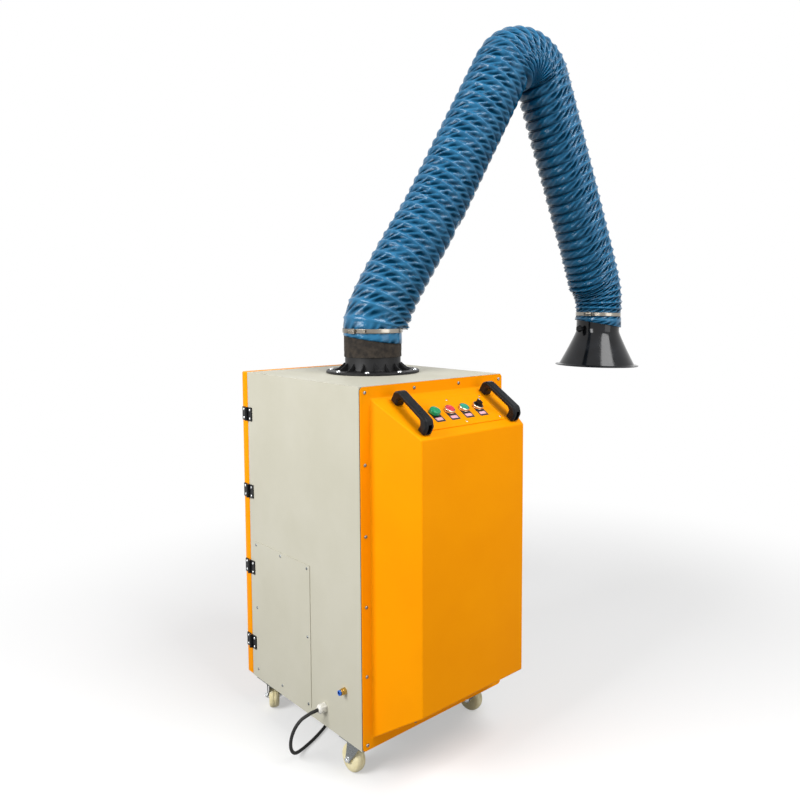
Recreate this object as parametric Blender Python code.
"""Mobile welding fume extractor: a wheeled filter cabinet with a hose arm and a suction hood.

Lengths are in metres, angles in degrees until they are used. Z points up and the floor is at
z = 0. The cabinet's front faces -Y. The origin lies on the floor, below the middle of the whole
machine with its arm out.
"""

import math

import bmesh
import bpy
from mathutils import Matrix, Vector

# Shared clearances and sheet metal
PIECE_GAP = 0.0003
OVERRUN = 0.010
SHEET = 0.002
ROUND_SEGMENTS = 28
MEDIUM_SEGMENTS = 16
SMALL_SEGMENTS = 10

# Cabinet body
BODY_WIDTH = 0.500
BODY_DEPTH = 0.548
BODY_HEIGHT = 0.915
RETURN_WIDTH = 0.022
FRONT_GASKET_THICKNESS = 0.002
CASTER_HEIGHT = 0.100

# Front casing: a flange with a hollow, tapered nose
FLANGE_CORNER_RADIUS = 0.010
NOSE_DEPTH = 0.145
NOSE_BACK_INSET = 0.030
NOSE_FRONT_INSET = 0.070
NOSE_BACK_FROM_TOP = 0.030
NOSE_FRONT_FROM_TOP = 0.119
NOSE_FRONT_BOTTOM = 0.120
NOSE_BACK_BOTTOM = 0.0255

# Control plate on the nose's slope, and the devices on it
PLATE_WIDTH = 0.262
PLATE_LENGTH = 0.112
PLATE_FROM_SLOPE_TOP = 0.030
PLATE_CUTOUT_MARGIN = 0.022
DEVICE_PITCH = 0.051
DEVICE_FROM_SLOPE_TOP = 0.084
BARREL_RADIUS = 0.011
BARREL_BORE_RADIUS = 0.0096
BARREL_DEPTH = 0.012
BEZEL_RADIUS = 0.01475
BEZEL_HEIGHT = 0.0095
BEZEL_POCKET_RADIUS = 0.0124
BEZEL_FLOOR = 0.0005
CONTACT_BLOCK_WIDTH = 0.030
CONTACT_BLOCK_LENGTH = 0.040
CONTACT_BLOCK_DEPTH = 0.038
BUTTON_TRAVEL = 0.004
BUTTON_PROUD = 0.0005
KNOB_BASE_PROUD = 0.001
KNOB_GRIP_WIDTH = 0.006
KNOB_GRIP_HEIGHT = 0.022
KNOB_GRIP_FOOT_SHARE = 0.9
KNOB_GRIP_TOP_SHARE = 0.35
LAMP_LENS_RADIUS = 0.0150
LAMP_LENS_HEIGHT = 0.014
LENS_WALL_SHARE = 0.55
LENS_SHOULDER_SHARES = (0.88, 0.85)
LENS_CROWN_SHARE = 0.55

# Bridge handles on the slope
HANDLE_LENGTH = 0.144
HANDLE_WIDTH = 0.028
HANDLE_RISE = 0.040
HANDLE_BAR = 0.014
HANDLE_FOOT = 0.024
HANDLE_CHAMFER = 0.014
HANDLE_FROM_SLOPE_TOP = 0.014
HANDLE_SPREAD = 0.310

# Left side: service panel, cable gland and air inlet
SERVICE_FRONT = 0.230
SERVICE_BOTTOM = 0.022
SERVICE_FROM_BACK = 0.028
SERVICE_HEIGHT = 0.395
SERVICE_SHEET = 0.0015
SERVICE_LAP = 0.022
GLAND_FROM_FRONT = 0.168
GLAND_UP = 0.051
GLAND_RADIUS = 0.0135
GLAND_LENGTH = 0.022
GLAND_THREAD_RADIUS = 0.010
GLAND_THREAD_LENGTH = 0.012
GLAND_TIP_SHARE = 0.72
INLET_FROM_FRONT = 0.075
INLET_UP = 0.132
INLET_THREAD_RADIUS = 0.0065
INLET_HEX_RADIUS = 0.0098
INLET_HEX_LENGTH = 0.010
INLET_RING_RADIUS = 0.0068
INLET_RING_LENGTH = 0.009
INLET_BORE_RADIUS = 0.004

# Right side: exhaust louvres
LOUVRE_COUNT = 7
LOUVRE_PITCH = 0.014
LOUVRE_SLOT = 0.006
LOUVRE_LENGTH = 0.190
LOUVRE_ABOVE_SCROLL = 0.007

# Rear door
DOOR_GAP = 0.003
DOOR_THICKNESS = 0.029
DOOR_RETURN_WIDTH = 0.025
DOOR_GASKET_WIDTH = 0.014
HINGE_HEIGHT = 0.040
HINGE_WIDTH = 0.0525
HINGE_LEAF = 0.003
HINGE_KNUCKLE_RADIUS = 0.0048
HINGE_PIN_RADIUS = 0.002
KNUCKLE_ROOM_SHARE = 1.2
HINGE_LOWEST = 0.105
HINGE_FROM_TOP = 0.123
HINGE_COUNT = 4
LOCK_FROM_EDGE = 0.046
LOCK_SHAFT_RADIUS = 0.006
LOCK_KNOB_RADIUS = 0.016
LOCK_KNOB_LENGTH = 0.012
LOCK_GRIP_WIDTH = 0.008
LOCK_GRIP_LENGTH = 0.012
LOCK_TONGUE_WIDTH = 0.014
LOCK_TONGUE_LENGTH = 0.036

# Filter chamber
BULKHEAD_FROM_FRONT = 0.030
TUBE_SHEET_SHARE = 0.47
TUBE_SHEET_THICKNESS = 0.003
CHAMBER_CENTRE_FROM_FRONT = 0.300
INTAKE_RADIUS = 0.095
FILTER_RADIUS = 0.160
FILTER_INNER_RADIUS = 0.110
FILTER_HEADROOM = 0.082
FILTER_CAP = 0.014
FILTER_CAP_LIP = 0.004
PLEAT_COUNT = 20
PLEAT_DEPTH = 0.025
CLAMP_ROD_RADIUS = 0.006
CLAMP_BAR_WIDTH = 0.022
CLAMP_BAR_THICKNESS = 0.006
CLAMP_NUT_RADIUS = 0.022
CLAMP_NUT_HEIGHT = 0.016
TRAY_HEIGHT = 0.045
TRAY_SHEET = 0.0015
TRAY_MARGIN = 0.006
TRAY_HOLE_MARGIN = 0.010
BAFFLE_RADIUS = 0.105
BAFFLE_DROP = 0.030
BAFFLE_LEG = 0.008

# Fan and motor
INTAKE_COLLAR = 0.034
SCROLL_HEIGHT = 0.118
SCROLL_SMALL_RADIUS = 0.140
SCROLL_LARGE_RADIUS = 0.190
SCROLL_START = -60
SCROLL_STEPS = 14
IMPELLER_RADIUS = 0.120
IMPELLER_HEIGHT = 0.080
IMPELLER_DISC = 0.003
IMPELLER_HUB_RADIUS = 0.022
BLADE_COUNT = 9
BLADE_THICKNESS = 0.003
BLADE_SHARES = (0.62, 0.97)
BLADE_SWEEP = -35
IMPELLER_EYE_SHARE = 0.72
FAN_RUNNING_GAP = 0.006
MOTOR_RADIUS = 0.085
MOTOR_ABOVE_FLOOR = 0.078
MOTOR_FLANGE_RADIUS = 0.100
MOTOR_FLANGE = 0.010
MOTOR_SHAFT_RADIUS = 0.0095
MOTOR_BORE_DEPTH = 0.060
TERMINAL_BOX = 0.075

# Pulse cleaning
TANK_RADIUS = 0.045
TANK_LENGTH = 0.300
TANK_PORT_GAP = 0.020
TANK_FOOT = 0.012
TANK_SHOULDER_SHARE = 0.7
TANK_FOOT_SPREAD_SHARE = 1.4
VALVE_SIZE = 0.044
VALVE_HEIGHT = 0.050
BLOW_PIPE_RADIUS = 0.008
BLOW_PIPE_BEND = 0.030
BLOW_PIPE_REACH = 0.060
BLOW_PIPE_DROP = 0.018

# Electrical panel behind the slope
PANEL_WIDTH = 0.280
PANEL_HEIGHT = 0.200
PANEL_ABOVE_FLOOR = 0.090
CONTACTOR_WIDTH = 0.045
CONTACTOR_HEIGHT = 0.080
CONTACTOR_DEPTH = 0.060
RELAY_DROP = 0.012
CONTACTOR_PITCH_SHARE = 1.8
TERMINAL_STRIP_SHARE = 0.7

# Collar on the roof and the swivelling sleeve
COLLAR_FROM_LEFT = 0.269
COLLAR_FROM_FRONT = 0.298
COLLAR_FLANGE_RADIUS = 0.135
COLLAR_FLANGE = 0.007
COLLAR_TUBE_RADIUS = 0.081
COLLAR_TUBE_WALL = 0.004
COLLAR_TUBE_HEIGHT = 0.050
GUSSET_COUNT = 16
GUSSET_RADIUS = 0.118
GUSSET_HEIGHT = 0.014
GUSSET_THICKNESS = 0.004
SLEEVE_BOTTOM = 0.046
SLEEVE_TOP = 0.085
SLEEVE_RADIUS = 0.0835
SLEEVE_LEDGE = 0.004
YOKE_BAR_HEIGHT = 0.008
YOKE_BAR_WIDTH = 0.030

# Arm, in the upright plane through the collar's axis
ARM_YAW = -8.0
SHOULDER_UP = 0.1195
LOWER_RISE = 60.3
LOWER_RUN = 1.176
UPPER_DIP = 68.5
UPPER_RUN = 0.972
HOOD_LEAN = 1.5
ELBOW_BEND_RADIUS = 0.104
WRIST_BEND_RADIUS = 0.250
ELBOW_PIVOT_DROP = 0.141
BEND_STRAIGHT = 0.040

# Hose with wire ribs
HOSE_RIB_RADIUS = 0.085
HOSE_VALLEY_RADIUS = 0.0815
HOSE_TIP_RIB_RADIUS = 0.0825
HOSE_TIP_VALLEY_RADIUS = 0.080
HOSE_RIB_PITCH = 0.035
HOSE_SIDES = 14
HOSE_HEM = 0.112

# Support arm inside the hose
LINK_WIDTH = 0.026
LINK_THICKNESS = 0.0092
EYE_RADIUS = 0.014
CHEEK_THICKNESS = 0.005
CHEEK_LENGTH = 0.046
ROOT_LENGTH = 0.030
ROOT_WIDTH_SHARE = 0.8
PIVOT_PIN_RADIUS = 0.005

# Suction hood
NECK_TOP = 0.068
NECK_RADIUS = 0.0767
HOOD_SHEET = 0.003
CONE_TOP = 0.139
CONE_RADIUS = 0.134
LIP_DROP = 0.263
LIP_RADIUS = 0.149
HOOD_BAR = 0.008
DAMPER_RADIUS = 0.070
DAMPER_HALF_HEIGHT = 0.053
DAMPER_ARC_STEPS = 6
DAMPER_DOWN = 0.131
DAMPER_THICKNESS = 0.003
DAMPER_SHAFT_RADIUS = 0.004
DAMPER_STUD = 0.010
DAMPER_KNOB_RADIUS = 0.011
DAMPER_KNOB_LENGTH = 0.014
DAMPER_LEVER_THICKNESS = 0.005
DAMPER_LEVER_LENGTH = 0.028
DAMPER_LEVER_WIDTH = 0.012

# Casters
CASTER_FROM_SIDE = 0.033
CASTER_FROM_FRONT = 0.062
CASTER_PLATE_LENGTH = 0.095
CASTER_PLATE_WIDTH = 0.064
CASTER_PLATE = 0.003
RACE_RADIUS = 0.025
RACE_HEIGHT = 0.0055
KINGPIN_RADIUS = 0.005
CASTER_TRAIL = 0.024
WHEEL_RADIUS = 0.0375
WHEEL_WIDTH = 0.032
WHEEL_CROWN = 0.005
WHEEL_TREAD_SHARE = 0.35
AXLE_RADIUS = 0.004
AXLE_NUT_RADIUS = 0.0075
AXLE_NUT_LENGTH = 0.005
FORK_SHEET = 0.0025
FORK_SIDE_GAP = 0.0015
FORK_CROWN_LENGTH = 0.050
FORK_FOOT_RADIUS = 0.010
FORK_FOOT_SHARE = 0.7
WHEEL_SEGMENTS = 24
CASTER_TRAIL_ANGLES = {
    "front_left": 0.0,
    "front_right": 10.0,
    "rear_left": -30.0,
    "rear_right": -15.0,
}

# Mains cable, with the coil of its spare length on the floor behind the cabinet
CORD_RADIUS = 0.0045
COIL_TURNS = 6
COIL_POINTS = 24
COIL_INNER_RADIUS = 0.037
COIL_STEP = 0.0099
COIL_CENTRE = (0.262, 0.690)
COIL_CLIMB_SHARE = 0.5
PLUG_LENGTH = 0.048
PLUG_RADIUS = 0.018
PLUG_BOOT_SHARE = 1.6
PIN_RADIUS = 0.0024
PIN_LENGTH = 0.019
PIN_SPREAD = 0.019

WHITE_NYLON = ("white_nylon", (0.85, 0.85, 0.83), 0.45, 0.0)
GREY_PAINT = ("grey_powder_coat", (0.62, 0.61, 0.52), 0.55, 0.0)
YELLOW_PAINT = ("yellow_powder_coat", (0.87, 0.33, 0.01), 0.42, 0.0)
BLACK_PLASTIC = ("black_plastic", (0.02, 0.02, 0.022), 0.35, 0.0)
BLACK_PAINT = ("black_paint", (0.03, 0.03, 0.032), 0.40, 0.0)
BLACK_RUBBER = ("black_rubber", (0.025, 0.025, 0.025), 0.75, 0.0)
GREY_RUBBER = ("grey_rubber", (0.20, 0.18, 0.16), 0.70, 0.0)
BLUE_HOSE = ("blue_hose_fabric", (0.03, 0.20, 0.42), 0.30, 0.0)
ZINC = ("zinc_plated_steel", (0.62, 0.63, 0.64), 0.32, 1.0)
CHROME = ("chrome", (0.80, 0.80, 0.80), 0.12, 1.0)
BRASS = ("brass", (0.72, 0.55, 0.28), 0.25, 1.0)
ALUMINIUM = ("cast_aluminium", (0.66, 0.67, 0.68), 0.45, 1.0)
CREAM_NYLON = ("cream_nylon", (0.80, 0.74, 0.52), 0.38, 0.0)
FILTER_PAPER = ("filter_paper", (0.82, 0.80, 0.72), 0.90, 0.0)
MOTOR_PAINT = ("motor_grey_paint", (0.20, 0.24, 0.28), 0.45, 0.0)
RED_PLASTIC = ("red_plastic", (0.65, 0.04, 0.05), 0.35, 0.0)
GREEN_PLASTIC = ("green_plastic", (0.01, 0.42, 0.20), 0.30, 0.0)

# Derived places, in the cabinet's frame: x from its left side, y from its front flange, z up
# from its underside
BODY_FRONT = SHEET + FRONT_GASKET_THICKNESS + 2 * PIECE_GAP
DOOR_FRONT = BODY_DEPTH + DOOR_GAP
DOOR_BACK = DOOR_FRONT + DOOR_THICKNESS
HINGE_AXIS_OUT = HINGE_KNUCKLE_RADIUS + PIECE_GAP
HINGE_AXIS_BACK = BODY_DEPTH + DOOR_GAP / 2
NOSE_BACK_TOP = BODY_HEIGHT - NOSE_BACK_FROM_TOP
NOSE_FRONT_TOP = BODY_HEIGHT - NOSE_FRONT_FROM_TOP
SLOPE_ANGLE = math.atan2(NOSE_BACK_TOP - NOSE_FRONT_TOP, NOSE_DEPTH)
SERVICE_WIDTH = BODY_DEPTH - SERVICE_FRONT - SERVICE_FROM_BACK
HINGE_PITCH = (BODY_HEIGHT - HINGE_LOWEST - HINGE_FROM_TOP) / (HINGE_COUNT - 1)
TUBE_SHEET_UP = BODY_HEIGHT * TUBE_SHEET_SHARE
FILTER_HEIGHT = BODY_HEIGHT - TUBE_SHEET_UP - TUBE_SHEET_THICKNESS - FILTER_HEADROOM
SCROLL_TOP_UP = TUBE_SHEET_UP - INTAKE_COLLAR
SCROLL_BOTTOM_UP = SCROLL_TOP_UP - SCROLL_HEIGHT
LOUVRE_BOTTOM = SCROLL_BOTTOM_UP + LOUVRE_ABOVE_SCROLL
MOTOR_LENGTH = SCROLL_BOTTOM_UP - MOTOR_FLANGE - MOTOR_ABOVE_FLOOR
BLOW_PIPE_UP = TUBE_SHEET_UP - BLOW_PIPE_DROP
PANEL_BOTTOM = TUBE_SHEET_UP + PANEL_ABOVE_FLOOR
CHAMBER_CENTRE = (BODY_WIDTH / 2, CHAMBER_CENTRE_FROM_FRONT)
PLATE_TOP_FACE = PIECE_GAP + SHEET
DEVICE_SEAT = PLATE_TOP_FACE + PIECE_GAP
FLOOR = -CASTER_HEIGHT

HOSE_BORE_RADIUS = (NECK_RADIUS + PIECE_GAP) / math.cos(math.pi / HOSE_SIDES)
LOWER_HEADING = math.radians(LOWER_RISE)
UPPER_HEADING = -math.radians(UPPER_DIP)
HOOD_HEADING = -math.radians(90 + HOOD_LEAN)


def heading_vector(heading):
    """A unit vector in the arm's plane: x along the reach, y up."""
    return Vector((math.cos(heading), math.sin(heading)))


SHOULDER = Vector((0.0, SHOULDER_UP))
ELBOW_CORNER = SHOULDER + LOWER_RUN * heading_vector(LOWER_HEADING)
WRIST = ELBOW_CORNER + UPPER_RUN * heading_vector(UPPER_HEADING)
ELBOW_BISECTOR = (heading_vector(UPPER_HEADING) - heading_vector(LOWER_HEADING)).normalized()
ELBOW = ELBOW_CORNER + ELBOW_PIVOT_DROP * ELBOW_BISECTOR
HOOD_AXIS = heading_vector(HOOD_HEADING)

ARM_REACH = WRIST.x + LIP_DROP * HOOD_AXIS.x + LIP_RADIUS
MACHINE_LEFT = -(GLAND_LENGTH + PIECE_GAP)
MACHINE_RIGHT = COLLAR_FROM_LEFT + ARM_REACH * math.cos(math.radians(ARM_YAW))
MACHINE_FRONT = -NOSE_DEPTH
MACHINE_BACK = DOOR_BACK + LOCK_KNOB_LENGTH + LOCK_GRIP_LENGTH
CENTRE_X = (MACHINE_LEFT + MACHINE_RIGHT) / 2
CENTRE_Y = (MACHINE_FRONT + MACHINE_BACK) / 2


def clear_scene():
    """Removes every object of the scene."""
    for found in list(bpy.data.objects):
        bpy.data.objects.remove(found, do_unlink=True)


def material(finish):
    """The Principled material of a finish: its name, colour, roughness and metallic value."""
    name, colour, roughness, metallic = finish
    made = bpy.data.materials.get(name)
    if made:
        return made
    made = bpy.data.materials.new(name)
    made.use_nodes = True
    shader = made.node_tree.nodes["Principled BSDF"]
    shader.inputs["Base Color"].default_value = (*colour, 1.0)
    shader.inputs["Roughness"].default_value = roughness
    shader.inputs["Metallic"].default_value = metallic
    made.diffuse_color = (*colour, 1.0)
    return made


def frame(name, parent, location=(0, 0, 0), rotation=(0, 0, 0)):
    """An empty that carries pieces: the whole machine, the slope or a joint's axis."""
    made = bpy.data.objects.new(name, None)
    bpy.context.scene.collection.objects.link(made)
    made.parent = parent
    made.location = location
    made.rotation_euler = rotation
    return made


def mesh_of(vertices, faces):
    """A mesh with its faces pointing out."""
    made = bpy.data.meshes.new("shape")
    made.from_pydata([tuple(point) for point in vertices], [], faces)
    work = bmesh.new()
    work.from_mesh(made)
    bmesh.ops.recalc_face_normals(work, faces=work.faces)
    work.to_mesh(made)
    work.free()
    return made


def box(x_range, y_range, z_range):
    """A box between three pairs of limits."""
    corners = [(x, y, z) for x in x_range for y in y_range for z in z_range]
    faces = [(0, 1, 3, 2), (4, 6, 7, 5), (0, 4, 5, 1), (2, 3, 7, 6), (0, 2, 6, 4), (1, 5, 7, 3)]
    return mesh_of(corners, faces)


def centred(width, middle=0.0):
    """The limits of a width about its middle."""
    return (middle - width / 2, middle + width / 2)


def on_axis(axis, across, up, along):
    """A point from two coordinates across an axis and one along it."""
    if axis == "X":
        return (along, across, up)
    if axis == "Y":
        return (across, along, up)
    return (across, up, along)


def prism(outline, limits, axis="Z"):
    """An outline pushed along an axis between two limits."""
    count = len(outline)
    points = [on_axis(axis, across, up, limit) for limit in limits for across, up in outline]
    ends = [tuple(range(count)), tuple(range(count, 2 * count))]
    sides = []
    for index in range(count):
        after = (index + 1) % count
        sides.append((index, after, count + after, count + index))
    return mesh_of(points, ends + sides)


def turned(profile, segments=ROUND_SEGMENTS, axis="Z", ring=False, flat_below=False):
    """A profile of (radius, along) points turned about an axis.

    A ring's profile is a closed outline off the axis. Otherwise the profile starts and ends on
    the axis. flat_below turns the facets so that one of them, not an edge, faces down.
    """
    start = -math.pi / 2 - (math.pi / segments if flat_below else 0)
    points = []
    rows = []
    for radius, along in profile:
        if radius == 0:
            rows.append([len(points)])
            points.append(on_axis(axis, 0, 0, along))
            continue
        row = []
        for step in range(segments):
            angle = start + 2 * math.pi * step / segments
            row.append(len(points))
            points.append(on_axis(axis, radius * math.cos(angle), radius * math.sin(angle), along))
        rows.append(row)
    pairs = list(zip(rows, rows[1:]))
    if ring:
        pairs.append((rows[-1], rows[0]))
    faces = []
    for row, following in pairs:
        for step in range(segments):
            after = (step + 1) % segments
            corners = [row[step % len(row)], row[after % len(row)]]
            corners += [following[after % len(following)], following[step % len(following)]]
            faces.append(tuple(dict.fromkeys(corners)))
    return mesh_of(points, faces)


def disc(radius, limits, segments=ROUND_SEGMENTS, axis="Z", flat_below=False):
    """A solid cylinder between two limits along an axis."""
    low, high = limits
    profile = [(0, low), (radius, low), (radius, high), (0, high)]
    return turned(profile, segments, axis, flat_below=flat_below)


def hollow(inner, outer, limits, segments=ROUND_SEGMENTS, axis="Z"):
    """A plain ring between two radii and two limits."""
    low, high = limits
    profile = [(inner, low), (outer, low), (outer, high), (inner, high)]
    return turned(profile, segments, axis, ring=True)


def running_bore(pin_radius, segments):
    """The corner radius of a faceted hole that clears a faceted pin all round."""
    return (pin_radius + PIECE_GAP) / math.cos(math.pi / segments)


def swept(stations, sides, bore=None):
    """A tube through stations of (centre, tangent, radius); bore gives it an inner surface.

    bore is a list of (index of a station, bore radius), with the first and last stations in it.
    """
    points = []
    normal = None

    def ring_at(centre, tangent, radius, side):
        up = tangent.cross(side).normalized()
        row = []
        for step in range(sides):
            angle = 2 * math.pi * (step + 0.5) / sides
            row.append(len(points))
            points.append(centre + radius * (math.cos(angle) * side + math.sin(angle) * up))
        return row

    sides_of = []
    for _, tangent, _ in stations:
        if normal is None:
            helper = Vector((0, 1, 0)) if abs(tangent.y) < 0.9 else Vector((1, 0, 0))
            normal = (helper - helper.dot(tangent) * tangent).normalized()
        normal = (normal - normal.dot(tangent) * tangent).normalized()
        sides_of.append(normal.copy())
    rows = [ring_at(*station, side) for station, side in zip(stations, sides_of)]
    faces = []
    loop = list(rows)
    if bore:
        for index, radius in reversed(bore):
            centre, tangent, _ = stations[index]
            loop.append(ring_at(centre, tangent, radius, sides_of[index]))
        loop.append(rows[0])
    for row, following in zip(loop, loop[1:]):
        for step in range(sides):
            after = (step + 1) % sides
            faces.append((row[step], row[after], following[after], following[step]))
    if not bore:
        faces += [tuple(rows[0]), tuple(rows[-1])]
    return mesh_of(points, faces)


def moved(mesh, location=(0, 0, 0), rotation=None):
    """The mesh, turned and then moved."""
    if rotation:
        mesh.transform(rotation)
    mesh.transform(Matrix.Translation(location))
    return mesh


def turn(degrees, axis):
    """A rotation matrix about a named axis."""
    return Matrix.Rotation(math.radians(degrees), 4, axis)


def helper_object(name, mesh, parent):
    """An object that only shapes another: it is not rendered."""
    made = bpy.data.objects.new(name, mesh)
    bpy.context.scene.collection.objects.link(made)
    made.parent = parent
    made.hide_render = True
    made.display_type = "WIRE"
    return made


def joined(*shapes):
    """Steps that join shapes to a piece."""
    return [("UNION", shape) for shape in shapes]


def without(*shapes):
    """Steps that cut shapes from a piece."""
    return [("DIFFERENCE", shape) for shape in shapes]


def piece(name, mesh, finish, parent, steps=(), smooth=True):
    """One named piece: a mesh and the steps that join shapes to it or cut them from it."""
    made = bpy.data.objects.new(name, mesh)
    bpy.context.scene.collection.objects.link(made)
    made.parent = parent
    mesh.materials.append(material(finish))
    for count, (operation, shape) in enumerate(steps):
        modifier = made.modifiers.new(f"{operation.lower()}_{count}", "BOOLEAN")
        modifier.operation = operation
        modifier.solver = "EXACT"
        modifier.object = helper_object(f"{name}_step_{count}", shape, parent)
    if smooth:
        mesh.shade_smooth()
        mesh.set_sharp_from_angle(angle=math.radians(40))


def rounded_outline(x_range, z_range, radius, steps=4):
    """A rectangle's outline with round corners."""
    left, right = x_range
    low, high = z_range
    centres = [
        (right - radius, high - radius, 0),
        (left + radius, high - radius, 90),
        (left + radius, low + radius, 180),
        (right - radius, low + radius, 270),
    ]
    points = []
    for across, up, start in centres:
        for step in range(steps + 1):
            angle = math.radians(start + 90 * step / steps)
            points.append((across + radius * math.cos(angle), up + radius * math.sin(angle)))
    return points


def capsule(length, radius, steps=8):
    """A bar's outline from x = 0 to x = length, with round ends."""
    points = []
    for centre, start in ((length, -90), (0, 90)):
        for step in range(steps + 1):
            angle = math.radians(start + 180 * step / steps)
            points.append((centre + radius * math.cos(angle), radius * math.sin(angle)))
    return points


# The cabinet


def cabinet_shell(parent):
    """The grey sheet body, open at the front and at the rear, with inward returns."""
    x_in = (SHEET, BODY_WIDTH - SHEET)
    z_in = (SHEET, BODY_HEIGHT - SHEET)
    outer = box((0, BODY_WIDTH), (BODY_FRONT, BODY_DEPTH), (0, BODY_HEIGHT))
    inside = box(x_in, (BODY_FRONT + SHEET, BODY_DEPTH - SHEET), z_in)
    x_open = (RETURN_WIDTH, BODY_WIDTH - RETURN_WIDTH)
    z_open = (RETURN_WIDTH, BODY_HEIGHT - RETURN_WIDTH)
    through = box(x_open, (BODY_FRONT - OVERRUN, BODY_DEPTH + OVERRUN), z_open)
    service = box(
        (-OVERRUN, SHEET + OVERRUN),
        (SERVICE_FRONT + SERVICE_LAP, SERVICE_FRONT + SERVICE_WIDTH - SERVICE_LAP),
        (SERVICE_BOTTOM + SERVICE_LAP, SERVICE_BOTTOM + SERVICE_HEIGHT - SERVICE_LAP),
    )
    wall = (-OVERRUN, SHEET + OVERRUN)
    gland = disc(running_bore(GLAND_THREAD_RADIUS, SMALL_SEGMENTS), wall, SMALL_SEGMENTS, "X")
    inlet = disc(running_bore(INLET_THREAD_RADIUS, SMALL_SEGMENTS), wall, SMALL_SEGMENTS, "X")
    collar = disc(
        COLLAR_TUBE_RADIUS - COLLAR_TUBE_WALL,
        (BODY_HEIGHT - SHEET - OVERRUN, BODY_HEIGHT + OVERRUN),
    )
    cuts = [
        inside,
        through,
        service,
        moved(gland, (0, GLAND_FROM_FRONT, GLAND_UP)),
        moved(inlet, (0, INLET_FROM_FRONT, INLET_UP)),
        moved(collar, (COLLAR_FROM_LEFT, COLLAR_FROM_FRONT, 0)),
    ]
    for count in range(LOUVRE_COUNT):
        low = LOUVRE_BOTTOM + count * LOUVRE_PITCH
        start = CHAMBER_CENTRE_FROM_FRONT - LOUVRE_LENGTH
        cuts.append(
            box(
                (BODY_WIDTH - SHEET - OVERRUN, BODY_WIDTH + OVERRUN),
                (start, start + LOUVRE_LENGTH),
                (low, low + LOUVRE_SLOT),
            )
        )
    piece("cabinet_shell", outer, GREY_PAINT, parent, without(*cuts), smooth=False)


def nose_section(y, wall=0.0):
    """The limits in x and z of the nose at a distance y behind the flange's front face.

    wall moves the limits in by a sheet's thickness, measured square to each sloped side.
    """
    share = -y / NOSE_DEPTH
    inset = NOSE_BACK_INSET + share * (NOSE_FRONT_INSET - NOSE_BACK_INSET)
    top = NOSE_BACK_TOP + share * (NOSE_FRONT_TOP - NOSE_BACK_TOP)
    bottom = NOSE_BACK_BOTTOM + share * (NOSE_FRONT_BOTTOM - NOSE_BACK_BOTTOM)
    side_slope = math.hypot(1, (NOSE_FRONT_INSET - NOSE_BACK_INSET) / NOSE_DEPTH)
    top_slope = math.hypot(1, (NOSE_BACK_TOP - NOSE_FRONT_TOP) / NOSE_DEPTH)
    bottom_slope = math.hypot(1, (NOSE_FRONT_BOTTOM - NOSE_BACK_BOTTOM) / NOSE_DEPTH)
    inset += wall * side_slope
    return (
        (inset, BODY_WIDTH - inset),
        (bottom + wall * bottom_slope, top - wall * top_slope),
    )


def nose_block(front, back, wall=0.0):
    """The solid between two sections of the nose."""
    points = []
    for y in (front, back):
        x_range, z_range = nose_section(y, wall)
        points += [(x, y, z) for x in x_range for z in z_range]
    faces = [(0, 1, 3, 2), (4, 6, 7, 5), (0, 4, 5, 1), (2, 3, 7, 6), (0, 2, 6, 4), (1, 5, 7, 3)]
    return mesh_of(points, faces)


def front_casing(parent):
    """The yellow front: a flange with round corners and a hollow nose."""
    outline = rounded_outline((0, BODY_WIDTH), (0, BODY_HEIGHT), FLANGE_CORNER_RADIUS)
    flange = prism(outline, (0, SHEET), "Y")
    outer = nose_block(-NOSE_DEPTH, SHEET / 2)
    inner = nose_block(-NOSE_DEPTH + SHEET, SHEET + OVERRUN, SHEET)
    half_width = PLATE_WIDTH / 2 - PLATE_CUTOUT_MARGIN
    high = -(PLATE_FROM_SLOPE_TOP + PLATE_CUTOUT_MARGIN)
    low = -(PLATE_FROM_SLOPE_TOP + PLATE_LENGTH - PLATE_CUTOUT_MARGIN)
    window = box((-half_width, half_width), (low, high), (-SHEET - OVERRUN, OVERRUN))
    window = moved(
        window, (BODY_WIDTH / 2, 0, NOSE_BACK_TOP), Matrix.Rotation(SLOPE_ANGLE, 4, "X")
    )
    steps = joined(outer) + without(inner, window)
    piece("front_casing", flange, YELLOW_PAINT, parent, steps, smooth=False)


def front_gasket(parent):
    """The black gasket between the casing's flange and the body's front returns."""
    outline = rounded_outline((0, BODY_WIDTH), (0, BODY_HEIGHT), FLANGE_CORNER_RADIUS)
    start = SHEET + PIECE_GAP
    strip = prism(outline, (start, start + FRONT_GASKET_THICKNESS), "Y")
    opening = box(
        (RETURN_WIDTH, BODY_WIDTH - RETURN_WIDTH),
        (-OVERRUN, start + FRONT_GASKET_THICKNESS + OVERRUN),
        (RETURN_WIDTH, BODY_HEIGHT - RETURN_WIDTH),
    )
    piece("front_gasket", strip, BLACK_RUBBER, parent, without(opening), smooth=False)


def service_panel(parent):
    """The screwed cover of the fan compartment, on the left side."""
    cover = box(
        (-PIECE_GAP - SERVICE_SHEET, -PIECE_GAP),
        (SERVICE_FRONT, SERVICE_FRONT + SERVICE_WIDTH),
        (SERVICE_BOTTOM, SERVICE_BOTTOM + SERVICE_HEIGHT),
    )
    piece("service_panel", cover, GREY_PAINT, parent, smooth=False)


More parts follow.
